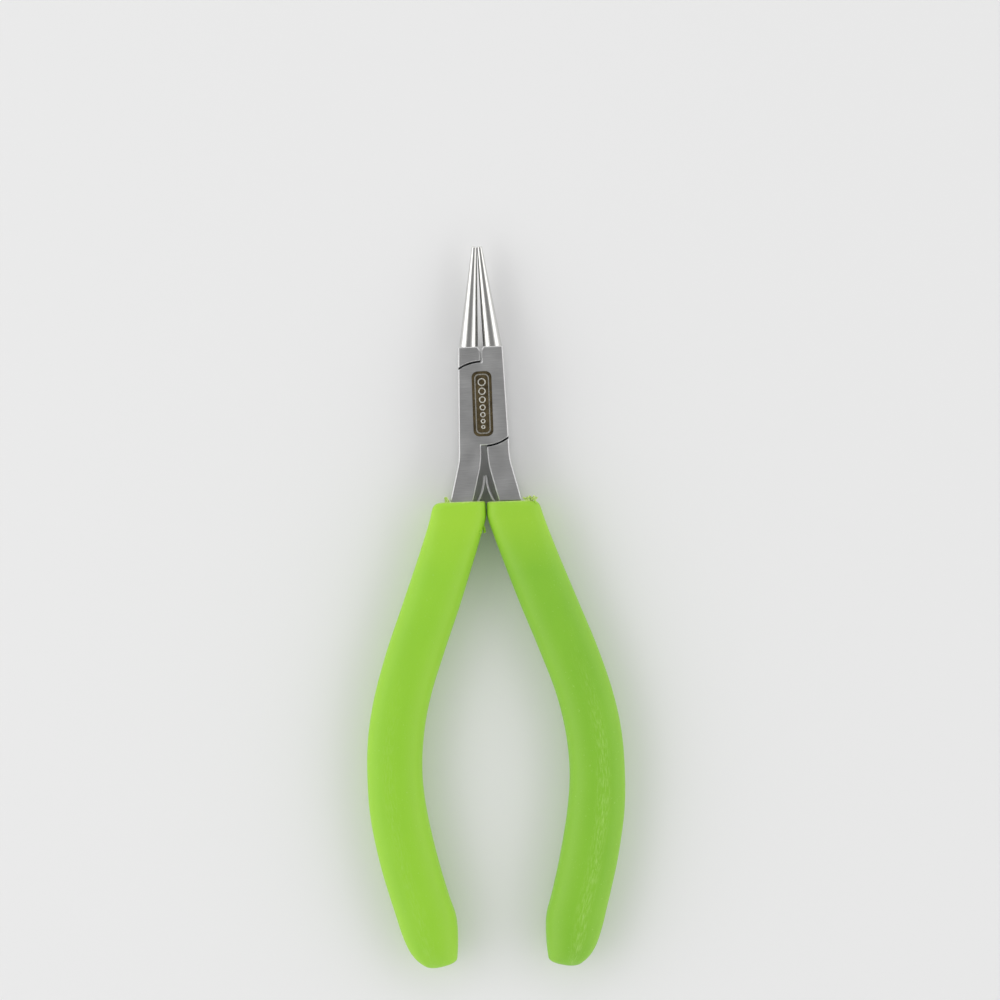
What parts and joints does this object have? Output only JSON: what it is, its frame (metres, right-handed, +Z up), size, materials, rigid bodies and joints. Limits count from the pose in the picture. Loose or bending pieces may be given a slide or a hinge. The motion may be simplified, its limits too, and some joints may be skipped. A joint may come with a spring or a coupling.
{
  "type": "round nose pliers",
  "caption": "Slim box-joint pliers with two tapered round noses, leaf springs between the shanks and soft slip-on grips that bow apart, lying flat and closed.",
  "frame": {"origin": "under the middle of the closed pliers' outline, on the surface that the grips lie on", "axes": "+Y along the pliers towards the noses, +X towards the handle of the tongue half, +Z up through the pliers' thickness and along the joint's pivot"},
  "size_m": [0.0516, 0.144, 0.0096],
  "materials": {
    "tool_steel": "satin, cross-ground flats and polished noses",
    "pin_steel": "ground flush",
    "spring_steel": "bright rolled strip",
    "rivet_steel": "bright",
    "lime_grip": "matte, lightly scuffed"
  },
  "bodies": {
    "slotted_side": {"slotted_half": "tool_steel", "pivot_pin": "pin_steel", "left_leaf_spring": "spring_steel", "left_spring_rivet": "rivet_steel", "left_grip": "lime_grip"},
    "tongue_side": {"tongue_half": "tool_steel", "right_leaf_spring": "spring_steel", "right_spring_rivet": "rivet_steel", "right_grip": "lime_grip"}
  },
  "joints": [
    {"name": "jaw_hinge", "type": "hinge", "parent": "slotted_side", "child": "tongue_side", "pos_m": [0, 0.04035, 0.0048], "axis": [0, 0, 1], "range_deg": [0, 24], "stiffness_Nm_per_rad": 1.6, "springref_deg": 17.02, "deforming": ["left_leaf_spring", "right_leaf_spring"]}
  ]
}
